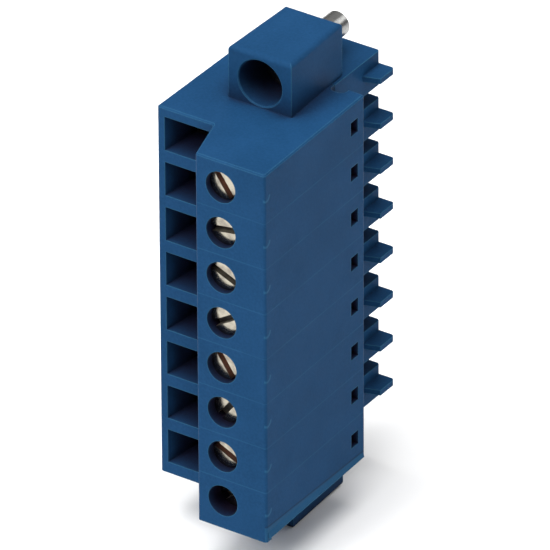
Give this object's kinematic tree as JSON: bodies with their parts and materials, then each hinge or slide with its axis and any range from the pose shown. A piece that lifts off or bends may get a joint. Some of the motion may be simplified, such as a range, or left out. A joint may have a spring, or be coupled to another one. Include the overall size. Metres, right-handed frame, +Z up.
{
  "type": "pluggable terminal block",
  "caption": "Pluggable terminal block with front screw clamps, wire entries, a ribbed plug nose and a screw flange at each end.",
  "frame": {"origin": "middle of the base of the whole part, as it is set up on its lower flange", "axes": "+Z up along the row of poles, -Y out of the screw face, +Y towards the plug end, +X towards the plain side wall"},
  "size_m": [0.0122, 0.0196, 0.0397],
  "materials": {
    "housing_plastic": "blue moulded polyamide, satin",
    "nose_plastic": "blue moulded polyamide, satin",
    "contact_metal": "tin-plated copper alloy sheet, dull",
    "wedge_metal": "nickel-plated, dull",
    "clamp_screw_steel": "zinc-plated, slightly yellow",
    "lock_screw_steel": "zinc-plated, dull"
  },
  "bodies": {
    "housing": {"front_housing": "housing_plastic", "plug_nose": "nose_plastic", "contact_1": "contact_metal", "contact_2": "contact_metal", "contact_3": "contact_metal", "contact_4": "contact_metal", "contact_5": "contact_metal", "contact_6": "contact_metal", "contact_7": "contact_metal", "contact_8": "contact_metal"},
    "clamp_1": {"clamp_wedge_1": "wedge_metal"},
    "screw_1": {"clamp_screw_1": "clamp_screw_steel"},
    "clamp_2": {"clamp_wedge_2": "wedge_metal"},
    "screw_2": {"clamp_screw_2": "clamp_screw_steel"},
    "clamp_3": {"clamp_wedge_3": "wedge_metal"},
    "screw_3": {"clamp_screw_3": "clamp_screw_steel"},
    "clamp_4": {"clamp_wedge_4": "wedge_metal"},
    "screw_4": {"clamp_screw_4": "clamp_screw_steel"},
    "clamp_5": {"clamp_wedge_5": "wedge_metal"},
    "screw_5": {"clamp_screw_5": "clamp_screw_steel"},
    "clamp_6": {"clamp_wedge_6": "wedge_metal"},
    "screw_6": {"clamp_screw_6": "clamp_screw_steel"},
    "clamp_7": {"clamp_wedge_7": "wedge_metal"},
    "screw_7": {"clamp_screw_7": "clamp_screw_steel"},
    "clamp_8": {"clamp_wedge_8": "wedge_metal"},
    "screw_8": {"clamp_screw_8": "clamp_screw_steel"},
    "lock_top": {"lock_screw_top": "lock_screw_steel"},
    "lock_bottom": {"lock_screw_bottom": "lock_screw_steel"}
  },
  "joints": [
    {"name": "clamp_slide_1", "type": "slide", "parent": "housing", "child": "clamp_1", "axis": [0, 1, 0], "range_m": [-0.0001, 0.0018]},
    {"name": "screw_turn_1", "type": "hinge", "parent": "clamp_1", "child": "screw_1", "pos_m": [0.00212, -0.00925, 0.03308], "axis": [0, 1, 0], "range_deg": [-90.2, 1620.2]},
    {"name": "clamp_slide_2", "type": "slide", "parent": "housing", "child": "clamp_2", "axis": [0, 1, 0], "range_m": [-0.00015, 0.00175]},
    {"name": "screw_turn_2", "type": "hinge", "parent": "clamp_2", "child": "screw_2", "pos_m": [0.00212, -0.0092, 0.02926], "axis": [0, 1, 0], "range_deg": [-135.2, 1575.2]},
    {"name": "clamp_slide_3", "type": "slide", "parent": "housing", "child": "clamp_3", "axis": [0, 1, 0], "range_m": [-0.0001, 0.0018]},
    {"name": "screw_turn_3", "type": "hinge", "parent": "clamp_3", "child": "screw_3", "pos_m": [0.00212, -0.00925, 0.02545], "axis": [0, 1, 0], "range_deg": [-90.2, 1620.2]},
    {"name": "clamp_slide_4", "type": "slide", "parent": "housing", "child": "clamp_4", "axis": [0, 1, 0], "range_m": [-0.00015, 0.00175]},
    {"name": "screw_turn_4", "type": "hinge", "parent": "clamp_4", "child": "screw_4", "pos_m": [0.00212, -0.0092, 0.02165], "axis": [0, 1, 0], "range_deg": [-135.2, 1575.2]},
    {"name": "clamp_slide_5", "type": "slide", "parent": "housing", "child": "clamp_5", "axis": [0, 1, 0], "range_m": [-0.00015, 0.00175]},
    {"name": "screw_turn_5", "type": "hinge", "parent": "clamp_5", "child": "screw_5", "pos_m": [0.00212, -0.0092, 0.01784], "axis": [0, 1, 0], "range_deg": [-135.2, 1575.2]},
    {"name": "clamp_slide_6", "type": "slide", "parent": "housing", "child": "clamp_6", "axis": [0, 1, 0], "range_m": [-0.0004, 0.0015]},
    {"name": "screw_turn_6", "type": "hinge", "parent": "clamp_6", "child": "screw_6", "pos_m": [0.00212, -0.00895, 0.01402], "axis": [0, 1, 0], "range_deg": [-360.2, 1350.2]},
    {"name": "clamp_slide_7", "type": "slide", "parent": "housing", "child": "clamp_7", "axis": [0, 1, 0], "range_m": [-0.00025, 0.00165]},
    {"name": "screw_turn_7", "type": "hinge", "parent": "clamp_7", "child": "screw_7", "pos_m": [0.00212, -0.0091, 0.01022], "axis": [0, 1, 0], "range_deg": [-225.2, 1485.2]},
    {"name": "clamp_slide_8", "type": "slide", "parent": "housing", "child": "clamp_8", "axis": [0, 1, 0], "range_m": [-0.0011, 0.0008]},
    {"name": "screw_turn_8", "type": "hinge", "parent": "clamp_8", "child": "screw_8", "pos_m": [0.00212, -0.00825, 0.00641], "axis": [0, 1, 0], "range_deg": [-990.2, 720.2]},
    {"name": "lock_turn_top", "type": "hinge", "parent": "housing", "child": "lock_top", "pos_m": [0.00036, 0.0052, 0.03725], "axis": [0, 1, 0], "continuous": true},
    {"name": "lock_turn_bottom", "type": "hinge", "parent": "housing", "child": "lock_bottom", "pos_m": [0.00036, 0.0052, 0.0024], "axis": [0, 1, 0], "continuous": true}
  ],
  "couplings": [
    {"joint": "screw_turn_1", "follows": "clamp_slide_1", "rad_per_m": 15708},
    {"joint": "screw_turn_2", "follows": "clamp_slide_2", "rad_per_m": 15708},
    {"joint": "screw_turn_3", "follows": "clamp_slide_3", "rad_per_m": 15708},
    {"joint": "screw_turn_4", "follows": "clamp_slide_4", "rad_per_m": 15708},
    {"joint": "screw_turn_5", "follows": "clamp_slide_5", "rad_per_m": 15708},
    {"joint": "screw_turn_6", "follows": "clamp_slide_6", "rad_per_m": 15708},
    {"joint": "screw_turn_7", "follows": "clamp_slide_7", "rad_per_m": 15708},
    {"joint": "screw_turn_8", "follows": "clamp_slide_8", "rad_per_m": 15708}
  ]
}
